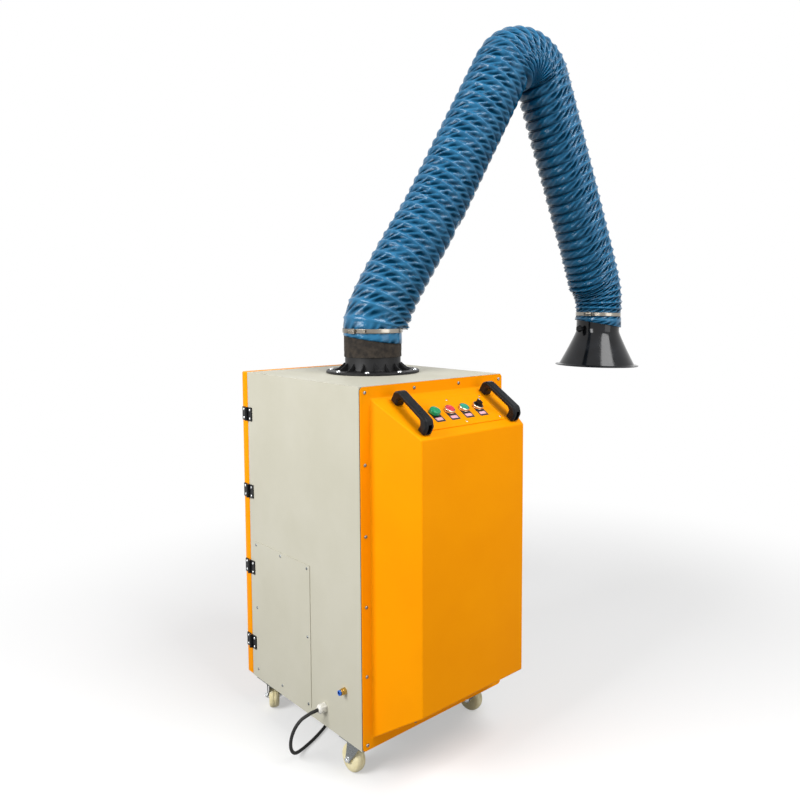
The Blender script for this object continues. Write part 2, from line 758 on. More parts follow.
def cable_gland(parent):
    """The nylon gland that the mains cable leaves by: dome nut, thread and bore."""
    bore = running_bore(CORD_RADIUS, SMALL_SEGMENTS)
    tip = -PIECE_GAP - GLAND_LENGTH
    profile = [
        (bore, tip),
        (GLAND_RADIUS * GLAND_TIP_SHARE, tip),
        (GLAND_RADIUS, tip + GLAND_LENGTH / 3),
        (GLAND_RADIUS, -PIECE_GAP),
        (GLAND_THREAD_RADIUS, -PIECE_GAP),
        (GLAND_THREAD_RADIUS, SHEET + GLAND_THREAD_LENGTH),
        (bore, SHEET + GLAND_THREAD_LENGTH),
    ]
    gland = moved(
        turned(profile, SMALL_SEGMENTS, "X", ring=True), (0, GLAND_FROM_FRONT, GLAND_UP)
    )
    piece("cable_gland", gland, WHITE_NYLON, parent)


def air_inlet_fitting(parent):
    """The push-in fitting for compressed air, from outside the wall to the tank's port."""
    hex_end = -PIECE_GAP - INLET_HEX_LENGTH
    ring_end = hex_end - INLET_RING_LENGTH
    profile = [
        (INLET_BORE_RADIUS, ring_end),
        (INLET_RING_RADIUS, ring_end),
        (INLET_RING_RADIUS, hex_end),
        (INLET_HEX_RADIUS, hex_end),
        (INLET_HEX_RADIUS, -PIECE_GAP),
        (INLET_THREAD_RADIUS, -PIECE_GAP),
        (INLET_THREAD_RADIUS, SHEET + TANK_PORT_GAP - PIECE_GAP),
        (INLET_BORE_RADIUS, SHEET + TANK_PORT_GAP - PIECE_GAP),
    ]
    fitting = moved(
        turned(profile, SMALL_SEGMENTS, "X", ring=True), (0, INLET_FROM_FRONT, INLET_UP)
    )
    piece("air_inlet_fitting", fitting, BRASS, parent)


# Controls and handles on the slope


def control_plate(parent):
    """The plate screwed over the slope's window, with a round hole for each device."""
    low = -(PLATE_FROM_SLOPE_TOP + PLATE_LENGTH)
    plate = box(centred(PLATE_WIDTH), (low, -PLATE_FROM_SLOPE_TOP), (PIECE_GAP, PLATE_TOP_FACE))
    holes = []
    for place in range(4):
        hole = disc(
            running_bore(BARREL_RADIUS, MEDIUM_SEGMENTS),
            (-OVERRUN, PLATE_TOP_FACE + OVERRUN),
            MEDIUM_SEGMENTS,
        )
        holes.append(moved(hole, (device_across(place), -DEVICE_FROM_SLOPE_TOP, 0)))
    piece("control_plate", plate, YELLOW_PAINT, parent, without(*holes), smooth=False)


def device_across(place):
    """The x of a control device on the slope, counted from the left."""
    return (place - 1.5) * DEVICE_PITCH


def device_barrel():
    """The chrome bezel and barrel that a button or a selector moves in."""
    top = DEVICE_SEAT + BEZEL_HEIGHT
    profile = [
        (BARREL_BORE_RADIUS, -BARREL_DEPTH),
        (BARREL_RADIUS, -BARREL_DEPTH),
        (BARREL_RADIUS, DEVICE_SEAT),
        (BEZEL_RADIUS, DEVICE_SEAT),
        (BEZEL_RADIUS, top - BEZEL_FLOOR),
        (BEZEL_POCKET_RADIUS, top),
        (BEZEL_POCKET_RADIUS, DEVICE_SEAT + BEZEL_FLOOR),
        (BARREL_BORE_RADIUS, DEVICE_SEAT + BEZEL_FLOOR),
    ]
    return turned(profile, MEDIUM_SEGMENTS, ring=True)


def contact_block():
    """The switch block behind the plate."""
    top = -BARREL_DEPTH + BEZEL_FLOOR
    return box(
        centred(CONTACT_BLOCK_WIDTH),
        centred(CONTACT_BLOCK_LENGTH),
        (top - CONTACT_BLOCK_DEPTH, top),
    )


def button_cap(finish, name, parent):
    """A cap whose plunger slides in the barrel; its head rests one travel above the floor."""
    head_low = DEVICE_SEAT + 2 * BEZEL_FLOOR + BUTTON_TRAVEL
    head_high = DEVICE_SEAT + BEZEL_HEIGHT + BUTTON_PROUD + BUTTON_TRAVEL / 2
    plunger = BARREL_BORE_RADIUS * math.cos(math.pi / MEDIUM_SEGMENTS) - PIECE_GAP
    head = BEZEL_POCKET_RADIUS * math.cos(math.pi / MEDIUM_SEGMENTS) - PIECE_GAP
    low = -BARREL_DEPTH + 2 * BEZEL_FLOOR + BUTTON_TRAVEL
    profile = [
        (0, low),
        (plunger, low),
        (plunger, head_low),
        (head, head_low),
        (head, head_high - BEZEL_FLOOR),
        (head - BEZEL_FLOOR, head_high),
        (0, head_high),
    ]
    piece(name, turned(profile, MEDIUM_SEGMENTS), finish, parent)


def selector_knob(parent):
    """The selector's black knob with its standing lever."""
    head_low = DEVICE_SEAT + 2 * BEZEL_FLOOR
    head_high = DEVICE_SEAT + BEZEL_HEIGHT + KNOB_BASE_PROUD
    plunger = BARREL_BORE_RADIUS * math.cos(math.pi / MEDIUM_SEGMENTS) - PIECE_GAP
    head = BEZEL_POCKET_RADIUS * math.cos(math.pi / MEDIUM_SEGMENTS) - PIECE_GAP
    low = -BARREL_DEPTH + 2 * BEZEL_FLOOR
    profile = [
        (0, low),
        (plunger, low),
        (plunger, head_low),
        (head, head_low),
        (head, head_high),
        (0, head_high),
    ]
    grip = [
        (-head * KNOB_GRIP_FOOT_SHARE, head_high - BEZEL_FLOOR),
        (head * KNOB_GRIP_FOOT_SHARE, head_high - BEZEL_FLOOR),
        (head * KNOB_GRIP_TOP_SHARE, head_high + KNOB_GRIP_HEIGHT),
        (-head * KNOB_GRIP_TOP_SHARE, head_high + KNOB_GRIP_HEIGHT),
    ]
    lever = prism([(across, up) for across, up in grip], centred(KNOB_GRIP_WIDTH), "X")
    piece("selector_knob", turned(profile, MEDIUM_SEGMENTS), BLACK_PLASTIC, parent, joined(lever))


def pilot_lamp(parent):
    """The green lamp: a domed lens on a barrel with its lamp holder behind."""
    base = DEVICE_SEAT
    shoulder_out, shoulder_up = LENS_SHOULDER_SHARES
    profile = [
        (0, -BARREL_DEPTH),
        (BARREL_RADIUS, -BARREL_DEPTH),
        (BARREL_RADIUS, base),
        (LAMP_LENS_RADIUS, base),
        (LAMP_LENS_RADIUS, base + LAMP_LENS_HEIGHT * LENS_WALL_SHARE),
        (LAMP_LENS_RADIUS * shoulder_out, base + LAMP_LENS_HEIGHT * shoulder_up),
        (LAMP_LENS_RADIUS * LENS_CROWN_SHARE, base + LAMP_LENS_HEIGHT),
        (0, base + LAMP_LENS_HEIGHT),
    ]
    lamp = turned(profile, MEDIUM_SEGMENTS)
    piece("pilot_lamp", lamp, GREEN_PLASTIC, parent, joined(contact_block()))


def controls(slope):
    """Lamp, stop button, start button and selector, each on its own axis."""
    axes = []
    for place, name in enumerate(("lamp_axis", "stop_axis", "start_axis", "selector_axis")):
        axes.append(frame(name, slope, (device_across(place), -DEVICE_FROM_SLOPE_TOP, 0)))
    lamp_axis, stop_axis, start_axis, selector_axis = axes
    pilot_lamp(lamp_axis)
    for name, axis in (("stop", stop_axis), ("start", start_axis), ("selector", selector_axis)):
        piece(f"{name}_switch_body", device_barrel(), CHROME, axis, joined(contact_block()))
    button_cap(RED_PLASTIC, "stop_button", stop_axis)
    button_cap(GREEN_PLASTIC, "start_button", start_axis)
    selector_knob(selector_axis)


def bridge_handle(name, across, parent):
    """A black bridge handle that stands on the slope and runs down it."""
    length = HANDLE_LENGTH
    rise = HANDLE_RISE
    foot = HANDLE_FOOT
    chamfer = HANDLE_CHAMFER
    under = rise - HANDLE_BAR
    half = [
        (0, 0),
        (0, under),
        (chamfer, rise),
    ]
    inner = [(foot, 0), (foot, under - chamfer / 2), (foot + chamfer / 2, under)]
    outline = half + [(length - along, up) for along, up in reversed(half)]
    outline += [(length - along, up) for along, up in inner]
    outline += list(reversed(inner))
    outline = [(along - length, up + PIECE_GAP) for along, up in outline]
    handle = prism(outline, centred(HANDLE_WIDTH), "X")
    handle = moved(handle, (across, -HANDLE_FROM_SLOPE_TOP, 0))
    piece(name, handle, BLACK_PLASTIC, parent, smooth=False)


# Rear door


def knuckle(limits, radius=HINGE_KNUCKLE_RADIUS):
    """A stretch of hinge barrel about the hinge's axis."""
    return disc(radius, limits, SMALL_SEGMENTS)


def hinge_leaf(side, limits):
    """A leaf from the hinge's axis along the body (side -1) or along the door (side 1)."""
    reach = side * (HINGE_WIDTH / 2)
    back = HINGE_AXIS_OUT - PIECE_GAP
    return box((back - HINGE_LEAF, back), sorted((0, reach)), limits)


def hinge_bands():
    """The lower, middle and upper thirds of a hinge, with running gaps between them."""
    third = HINGE_HEIGHT / 3
    low = -HINGE_HEIGHT / 2
    return (
        (low, low + third - PIECE_GAP),
        (low + third, low + 2 * third),
        (low + 2 * third + PIECE_GAP, -low),
    )


def hinge_frame(index, parent):
    """The empty on one hinge's axis, at the middle of the hinge."""
    up = HINGE_LOWEST + index * HINGE_PITCH
    return frame(f"hinge_{index + 1}_axis", parent, (0, 0, up))


def fixed_hinge(index, hinge_axis):
    """The hinge half on the body: a leaf, two knuckles and the pin."""
    lower, middle, upper = hinge_bands()
    parent = hinge_frame(index, hinge_axis)
    leaf = hinge_leaf(-1, (lower[0], upper[1]))
    room_limits = (middle[0] - PIECE_GAP / 2, middle[1] + PIECE_GAP / 2)
    room = knuckle(room_limits, HINGE_KNUCKLE_RADIUS * KNUCKLE_ROOM_SHARE)
    blank = disc(HINGE_KNUCKLE_RADIUS, (lower[0], upper[1]), SMALL_SEGMENTS)
    pin = disc(HINGE_PIN_RADIUS, (lower[0] + OVERRUN / 2, upper[1] - OVERRUN / 2), SMALL_SEGMENTS)
    steps = joined(leaf) + without(room) + joined(pin)
    piece(f"hinge_{index + 1}", blank, BLACK_PAINT, parent, steps)


def rear_door(hinge_axis):
    """The door pan with its inward returns, and the four hinge leaves welded to it."""
    left = HINGE_AXIS_OUT
    front = DOOR_FRONT - HINGE_AXIS_BACK
    back = DOOR_BACK - HINGE_AXIS_BACK
    pan = box((left, left + BODY_WIDTH), (front, back), (0, BODY_HEIGHT))
    inside = box(
        (left + SHEET, left + BODY_WIDTH - SHEET),
        (front + SHEET, back - SHEET),
        (SHEET, BODY_HEIGHT - SHEET),
    )
    opening = box(
        (left + DOOR_RETURN_WIDTH, left + BODY_WIDTH - DOOR_RETURN_WIDTH),
        (front - OVERRUN, back - SHEET),
        (DOOR_RETURN_WIDTH, BODY_HEIGHT - DOOR_RETURN_WIDTH),
    )
    lock_hole = disc(
        running_bore(LOCK_SHAFT_RADIUS, SMALL_SEGMENTS),
        (back - SHEET - OVERRUN, back + OVERRUN),
        SMALL_SEGMENTS,
        "Y",
    )
    lock_hole = moved(lock_hole, (left + BODY_WIDTH - LOCK_FROM_EDGE, 0, BODY_HEIGHT / 2))
    _, middle, _ = hinge_bands()
    bore = running_bore(HINGE_PIN_RADIUS, SMALL_SEGMENTS)
    leaf = box(
        (HINGE_AXIS_OUT - HINGE_LEAF, HINGE_AXIS_OUT + SHEET / 2),
        (HINGE_KNUCKLE_RADIUS + PIECE_GAP, HINGE_WIDTH / 2),
        centred(HINGE_HEIGHT),
    )
    tongue = box(
        (HINGE_AXIS_OUT - HINGE_LEAF, HINGE_AXIS_OUT - PIECE_GAP),
        (bore + PIECE_GAP, HINGE_KNUCKLE_RADIUS + SHEET),
        middle,
    )
    barrel = hollow(bore, HINGE_KNUCKLE_RADIUS, middle, SMALL_SEGMENTS)
    steps = without(inside, opening, lock_hole)
    steps += joined(*[four_hinges(shape) for shape in (leaf, tongue, barrel)])
    piece("rear_door", pan, YELLOW_PAINT, hinge_axis, steps, smooth=False)


def four_hinges(shape):
    """Copies of a shape at the height of each hinge, in one mesh."""
    work = bmesh.new()
    for index in range(HINGE_COUNT):
        one = shape.copy()
        one.transform(Matrix.Translation((0, 0, HINGE_LOWEST + index * HINGE_PITCH)))
        work.from_mesh(one)
    made = bpy.data.meshes.new("hinges")
    work.to_mesh(made)
    work.free()
    return made


def door_gasket(hinge_axis):
    """The rubber strip on the door's returns that meets the body's rear returns."""
    left = HINGE_AXIS_OUT + PIECE_GAP
    width = BODY_WIDTH - 2 * PIECE_GAP
    front = BODY_DEPTH + PIECE_GAP - HINGE_AXIS_BACK
    back = DOOR_FRONT - PIECE_GAP - HINGE_AXIS_BACK
    margin = (DOOR_RETURN_WIDTH - DOOR_GASKET_WIDTH) / 2
    strip = box(
        (left + margin, left + width - margin),
        (front, back),
        (margin, BODY_HEIGHT - margin),
    )
    inner = margin + DOOR_GASKET_WIDTH
    opening = box(
        (left + inner, left + width - inner),
        (front - OVERRUN, back + OVERRUN),
        (inner, BODY_HEIGHT - inner),
    )
    piece("door_gasket", strip, BLACK_RUBBER, hinge_axis, without(opening), smooth=False)


def door_lock(hinge_axis):
    """The quarter-turn lock, shown open: a quarter turn swings its tongue behind the return."""
    across = HINGE_AXIS_OUT + BODY_WIDTH - LOCK_FROM_EDGE
    axis = frame("door_lock_axis", hinge_axis, (across, 0, BODY_HEIGHT / 2))
    outside = DOOR_BACK - HINGE_AXIS_BACK + PIECE_GAP
    tongue_back = BODY_DEPTH - SHEET - PIECE_GAP - HINGE_AXIS_BACK
    tongue_front = tongue_back - 2 * SHEET
    shaft = disc(LOCK_SHAFT_RADIUS, (tongue_front, outside + SHEET), SMALL_SEGMENTS, "Y")
    knob = disc(
        LOCK_KNOB_RADIUS, (outside, outside + LOCK_KNOB_LENGTH), MEDIUM_SEGMENTS, "Y"
    )
    grip_end = outside + LOCK_KNOB_LENGTH + LOCK_GRIP_LENGTH
    grip = box(
        centred(2 * LOCK_KNOB_RADIUS),
        (outside + LOCK_KNOB_LENGTH / 2, grip_end),
        centred(LOCK_GRIP_WIDTH),
    )
    tongue = box(
        centred(LOCK_TONGUE_WIDTH),
        (tongue_front, tongue_back),
        (-LOCK_TONGUE_WIDTH / 2, LOCK_TONGUE_LENGTH),
    )
    piece("door_lock", shaft, BLACK_PLASTIC, axis, joined(knob, grip, tongue))


# Filter chamber


def filter_bulkhead(parent):
    """The folded plate that closes the filter chamber in front and carries the filter."""
    left = SHEET + PIECE_GAP
    right = BODY_WIDTH - SHEET - PIECE_GAP
    top = BODY_HEIGHT - SHEET - PIECE_GAP
    floor_top = TUBE_SHEET_UP + TUBE_SHEET_THICKNESS
    wall = box(
        (left, right),
        (BULKHEAD_FROM_FRONT, BULKHEAD_FROM_FRONT + TUBE_SHEET_THICKNESS),
        (TUBE_SHEET_UP, top),
    )
    floor = box(
        (left, right),
        (BULKHEAD_FROM_FRONT + SHEET, BODY_DEPTH - SHEET - PIECE_GAP),
        (TUBE_SHEET_UP, floor_top),
    )
    hole = disc(INTAKE_RADIUS, (TUBE_SHEET_UP - OVERRUN, floor_top + OVERRUN))
    hole = moved(hole, (*CHAMBER_CENTRE, 0))
    piece("filter_bulkhead", floor, GREY_PAINT, parent, joined(wall) + without(hole), smooth=False)


def filter_cartridge(parent):
    """The pleated cartridge with its two end caps, standing on the bulkhead's floor."""
    low = TUBE_SHEET_UP + TUBE_SHEET_THICKNESS + PIECE_GAP
    high = low + FILTER_HEIGHT
    cap = FILTER_RADIUS + FILTER_CAP_LIP
    rod = running_bore(CLAMP_ROD_RADIUS, 2 * PLEAT_COUNT)
    profile = [
        (FILTER_INNER_RADIUS, low),
        (cap, low),
        (cap, low + FILTER_CAP),
        (FILTER_RADIUS, low + FILTER_CAP),
        (FILTER_RADIUS, high - FILTER_CAP),
        (cap, high - FILTER_CAP),
        (cap, high),
        (rod, high),
        (rod, high - FILTER_CAP),
        (FILTER_INNER_RADIUS, high - FILTER_CAP),
    ]
    cartridge = turned(profile, 2 * PLEAT_COUNT, ring=True)
    for vertex in cartridge.vertices:
        reach = math.hypot(vertex.co.x, vertex.co.y)
        if abs(reach - FILTER_RADIUS) < PIECE_GAP and vertex.index % 2:
            vertex.co.x *= (FILTER_RADIUS - PLEAT_DEPTH) / FILTER_RADIUS
            vertex.co.y *= (FILTER_RADIUS - PLEAT_DEPTH) / FILTER_RADIUS
    chamber = frame("filter_axis", parent, (*CHAMBER_CENTRE, 0))
    piece("filter_cartridge", cartridge, FILTER_PAPER, chamber, smooth=False)

    bar_low = low
    nut_low = high + PIECE_GAP
    shaft = disc(CLAMP_ROD_RADIUS, (bar_low, nut_low + CLAMP_NUT_HEIGHT / 2), SMALL_SEGMENTS)
    inner = FILTER_INNER_RADIUS * math.cos(math.pi / PLEAT_COUNT) - PIECE_GAP
    bar = box(
        (-inner + SHEET, inner - SHEET),
        centred(CLAMP_BAR_WIDTH),
        (bar_low, bar_low + CLAMP_BAR_THICKNESS),
    )
    nut = disc(CLAMP_NUT_RADIUS, (nut_low, nut_low + CLAMP_NUT_HEIGHT), SMALL_SEGMENTS)
    piece("filter_clamp_rod", shaft, ZINC, chamber, joined(bar, nut))


def dust_tray(parent):
    """The tray round the cartridge's foot that catches the dust shaken off it."""
    low = TUBE_SHEET_UP + TUBE_SHEET_THICKNESS + PIECE_GAP
    high = low + TRAY_HEIGHT
    x_out = (SHEET + TRAY_MARGIN, BODY_WIDTH - SHEET - TRAY_MARGIN)
    y_out = (
        BULKHEAD_FROM_FRONT + TUBE_SHEET_THICKNESS + TRAY_MARGIN,
        BODY_DEPTH - RETURN_WIDTH,
    )
    hole_radius = FILTER_RADIUS + FILTER_CAP_LIP + TRAY_HOLE_MARGIN
    tray = box(x_out, y_out, (low, high))
    pocket = box(
        (x_out[0] + TRAY_SHEET, x_out[1] - TRAY_SHEET),
        (y_out[0] + TRAY_SHEET, y_out[1] - TRAY_SHEET),
        (low + TRAY_SHEET, high + OVERRUN),
    )
    rim = hollow(hole_radius, hole_radius + TRAY_SHEET, (low, high))
    hole = disc(hole_radius, (low - OVERRUN, high + OVERRUN))
    centre = (*CHAMBER_CENTRE, 0)
    steps = without(pocket) + joined(moved(rim, centre)) + without(moved(hole, centre))
    piece("dust_tray", tray, ZINC, parent, steps, smooth=False)


def spark_baffle(parent):
    """The plate under the air inlet that stops sparks, on three legs from the roof."""
    roof = BODY_HEIGHT - SHEET - PIECE_GAP
    low = roof - BAFFLE_DROP
    plate = disc(BAFFLE_RADIUS, (low, low + SHEET))
    legs = []
    for index in range(3):
        leg = disc(BAFFLE_LEG / 2, (low + SHEET / 2, roof), SMALL_SEGMENTS)
        angle = math.radians(90 + 120 * index)
        reach = BAFFLE_RADIUS - BAFFLE_LEG
        legs.append(moved(leg, (reach * math.cos(angle), reach * math.sin(angle), 0)))
    place = frame("baffle_frame", parent, (COLLAR_FROM_LEFT, COLLAR_FROM_FRONT, 0))
    piece("spark_baffle", plate, ZINC, place, joined(*legs))


# Fan, motor and pulse cleaning


def scroll_outline(inset):
    """The fan housing's spiral with its straight duct to the right-hand wall."""
    duct_end = BODY_WIDTH / 2 - SHEET - PIECE_GAP
    points = []
    start = math.radians(SCROLL_START)
    sweep = math.radians(270 - SCROLL_START)
    for step in range(SCROLL_STEPS + 1):
        share = step / SCROLL_STEPS
        radius = SCROLL_SMALL_RADIUS + share * (SCROLL_LARGE_RADIUS - SCROLL_SMALL_RADIUS)
        angle = start + share * sweep
        points.append(((radius - inset) * math.cos(angle), (radius - inset) * math.sin(angle)))
    points.append((duct_end, -(SCROLL_LARGE_RADIUS - inset)))
    points.append((duct_end, points[0][1] - inset))
    return points


def fan_housing(fan_axis):
    """The scroll that carries the motor, with an intake collar up to the bulkhead."""
    low = SCROLL_BOTTOM_UP
    outer = prism(scroll_outline(0), (low, SCROLL_TOP_UP))
    inner = prism(scroll_outline(SHEET), (low + SHEET, SCROLL_TOP_UP - SHEET))
    outlet = box(
        (BODY_WIDTH / 2 - 2 * OVERRUN, BODY_WIDTH / 2 + OVERRUN),
        (-(SCROLL_LARGE_RADIUS - SHEET), scroll_outline(SHEET)[0][1] - SHEET),
        (low + SHEET, SCROLL_TOP_UP - SHEET),
    )
    collar_top = TUBE_SHEET_UP - PIECE_GAP
    collar = hollow(INTAKE_RADIUS, INTAKE_RADIUS + SHEET, (SCROLL_TOP_UP - SHEET, collar_top))
    intake = disc(INTAKE_RADIUS, (SCROLL_TOP_UP - SHEET - OVERRUN, collar_top + OVERRUN))
    shaft = disc(
        MOTOR_SHAFT_RADIUS + FAN_RUNNING_GAP, (low - OVERRUN, low + SHEET + OVERRUN), SMALL_SEGMENTS
    )
    pipe = disc(
        running_bore(BLOW_PIPE_RADIUS, SMALL_SEGMENTS),
        (-INTAKE_RADIUS - OVERRUN, 0),
        SMALL_SEGMENTS,
        "Y",
    )
    pipe = moved(pipe, (0, 0, BLOW_PIPE_UP))
    steps = joined(collar) + without(inner, outlet, intake, shaft, pipe)
    piece("fan_housing", outer, ZINC, fan_axis, steps, smooth=False)


def fan_motor(fan_axis):
    """The flanged motor under the scroll, with a bore for the rotor's shaft."""
    top = SCROLL_BOTTOM_UP - PIECE_GAP
    bottom = top - MOTOR_FLANGE - MOTOR_LENGTH
    bore = running_bore(MOTOR_SHAFT_RADIUS, SMALL_SEGMENTS)
    depth = top - MOTOR_BORE_DEPTH
    chamfer = MOTOR_FLANGE
    profile = [
        (0, bottom),
        (MOTOR_RADIUS - chamfer, bottom),
        (MOTOR_RADIUS, bottom + chamfer),
        (MOTOR_RADIUS, top - MOTOR_FLANGE),
        (MOTOR_FLANGE_RADIUS, top - MOTOR_FLANGE),
        (MOTOR_FLANGE_RADIUS, top),
        (bore, top),
        (bore, depth),
        (0, depth),
    ]
    terminal = box(
        (-MOTOR_RADIUS - TERMINAL_BOX / 2, -MOTOR_RADIUS + TERMINAL_BOX / 3),
        centred(TERMINAL_BOX),
        centred(TERMINAL_BOX, (top + bottom) / 2),
    )
    motor = turned(profile, MEDIUM_SEGMENTS)
    piece("fan_motor", motor, MOTOR_PAINT, fan_axis, joined(terminal))


def fan_impeller(fan_axis):
    """The impeller: back disc, swept blades, front ring, hub and the rotor's shaft."""
    low = SCROLL_BOTTOM_UP + SHEET + FAN_RUNNING_GAP
    high = low + IMPELLER_HEIGHT
    back = disc(IMPELLER_RADIUS, (low, low + IMPELLER_DISC), MEDIUM_SEGMENTS)
    front = hollow(
        IMPELLER_RADIUS * IMPELLER_EYE_SHARE, IMPELLER_RADIUS, (high - IMPELLER_DISC, high), MEDIUM_SEGMENTS
    )
    shapes = []
    blade_in, blade_out = (IMPELLER_RADIUS * share for share in BLADE_SHARES)
    blade_low = low + IMPELLER_DISC / 2
    blade_high = high - IMPELLER_DISC / 2
    for index in range(BLADE_COUNT):
        blade = box(
            (blade_in, blade_out),
            centred(BLADE_THICKNESS),
            (blade_low, blade_high),
        )
        hinge = Matrix.Translation((blade_in, 0, 0))
        swept_back = hinge @ turn(BLADE_SWEEP, "Z") @ hinge.inverted()
        blade.transform(turn(360 * index / BLADE_COUNT, "Z") @ swept_back)
        shapes.append(blade)
    hub = disc(IMPELLER_HUB_RADIUS, (low, low + IMPELLER_HEIGHT / 2), SMALL_SEGMENTS)
    shaft_low = SCROLL_BOTTOM_UP - MOTOR_BORE_DEPTH + PIECE_GAP
    shaft = disc(MOTOR_SHAFT_RADIUS, (shaft_low, low + SHEET), SMALL_SEGMENTS)
    piece("fan_impeller", back, ALUMINIUM, fan_axis, joined(*shapes, front, hub, shaft))


def air_tank(parent):
    """The pulse air tank on its two feet, its port against the inlet fitting."""
    left = SHEET + TANK_PORT_GAP
    right = left + TANK_LENGTH
    dome = TANK_RADIUS / 2
    shoulder = TANK_RADIUS * TANK_SHOULDER_SHARE
    profile = [
        (0, left),
        (INLET_RING_RADIUS, left),
        (INLET_RING_RADIUS, left + dome / 2),
        (shoulder, left + dome),
        (TANK_RADIUS, left + 2 * dome),
        (TANK_RADIUS, right - 2 * dome),
        (shoulder, right - dome),
        (0, right - dome / 2),
    ]
    tank = moved(turned(profile, MEDIUM_SEGMENTS, "X"), (0, INLET_FROM_FRONT, INLET_UP))
    feet = []
    for place in (left + 3 * dome, right - 3 * dome):
        feet.append(
            box(
                centred(TANK_FOOT, place),
                centred(TANK_FOOT_SPREAD_SHARE * TANK_RADIUS, INLET_FROM_FRONT),
                (SHEET + PIECE_GAP, INLET_UP),
            )
        )
    piece("air_tank", tank, BLACK_PAINT, parent, joined(*feet))


def pulse_valve(parent):
    """The pulse valve on the tank and its blow pipe, which ends under the filter."""
    base = INLET_UP + TANK_RADIUS + PIECE_GAP
    across = BODY_WIDTH / 2
    body = box(
        centred(VALVE_SIZE, across),
        centred(VALVE_SIZE, INLET_FROM_FRONT),
        (base, base + VALVE_HEIGHT),
    )
    radius = BLOW_PIPE_BEND
    end_y = CHAMBER_CENTRE_FROM_FRONT - BLOW_PIPE_REACH
    start = Vector((across, INLET_FROM_FRONT, base + VALVE_HEIGHT / 2))
    stations = [(start, Vector((0, 0, 1)), BLOW_PIPE_RADIUS)]
    for step in range(5):
        angle = math.radians(90 * step / 4)
        centre = Vector(
            (
                across,
                INLET_FROM_FRONT + radius * (1 - math.cos(angle)),
                BLOW_PIPE_UP - radius * (1 - math.sin(angle)),
            )
        )
        tangent = Vector((0, math.sin(angle), math.cos(angle)))
        stations.append((centre, tangent, BLOW_PIPE_RADIUS))
    end = Vector((across, end_y, BLOW_PIPE_UP))
    stations.append((end, Vector((0, 1, 0)), BLOW_PIPE_RADIUS))
    pipe = swept(stations, SMALL_SEGMENTS)
    nozzle_top = TUBE_SHEET_UP + TUBE_SHEET_THICKNESS
    nozzle = disc(BLOW_PIPE_RADIUS, (BLOW_PIPE_UP, nozzle_top), SMALL_SEGMENTS)
    nozzle = moved(nozzle, (across, end_y - BLOW_PIPE_RADIUS, 0))
    piece("pulse_valve", body, ALUMINIUM, parent, joined(pipe, nozzle))


def electrical_panel(parent):
    """The mounting plate on the bulkhead with its contactor, relay and terminals."""
    back = BULKHEAD_FROM_FRONT - PIECE_GAP
    plate = box(
        centred(PANEL_WIDTH, BODY_WIDTH / 2),
        (back - SHEET, back),
        (PANEL_BOTTOM, PANEL_BOTTOM + PANEL_HEIGHT),
    )
    shapes = []
    for index in range(3):
        across = BODY_WIDTH / 2 + (index - 1) * CONTACTOR_PITCH_SHARE * CONTACTOR_WIDTH
        low = PANEL_BOTTOM + PANEL_HEIGHT / 2 - index * RELAY_DROP
        shapes.append(
            box(
                centred(CONTACTOR_WIDTH, across),
                (back - SHEET / 2 - CONTACTOR_DEPTH, back - SHEET / 2),
                (low, low + CONTACTOR_HEIGHT),
            )
        )
    terminals = box(
        centred(PANEL_WIDTH * TERMINAL_STRIP_SHARE, BODY_WIDTH / 2),
        (back - CONTACTOR_DEPTH / 2, back - SHEET / 2),
        (PANEL_BOTTOM + RELAY_DROP, PANEL_BOTTOM + 3 * RELAY_DROP),
    )
    piece("electrical_panel", plate, ZINC, parent, joined(*shapes, terminals), smooth=False)


# Collar, sleeve and arm


def collar_flange(swivel_base):
    """The bolted roof collar: flange, radial gussets and tube."""
    low = PIECE_GAP
    bore = COLLAR_TUBE_RADIUS - COLLAR_TUBE_WALL
    top = COLLAR_TUBE_HEIGHT
    profile = [
        (bore, low),
        (COLLAR_FLANGE_RADIUS, low),
        (COLLAR_FLANGE_RADIUS, low + COLLAR_FLANGE),
        (COLLAR_TUBE_RADIUS, low + COLLAR_FLANGE),
        (COLLAR_TUBE_RADIUS, top),
        (bore, top),
    ]
    gussets = []
    rise = low + COLLAR_FLANGE + GUSSET_HEIGHT
    root = low + COLLAR_FLANGE - SHEET
    inner = COLLAR_TUBE_RADIUS - SHEET
    outline = [(inner, root), (GUSSET_RADIUS, root), (inner, rise)]
    for index in range(GUSSET_COUNT):
        gusset = prism(outline, centred(GUSSET_THICKNESS), "Y")
        gussets.append(moved(gusset, rotation=turn(360 * (index + 0.5) / GUSSET_COUNT, "Z")))
    collar = turned(profile, ring=True)
    piece("roof_collar", collar, BLACK_PAINT, swivel_base, joined(*gussets))


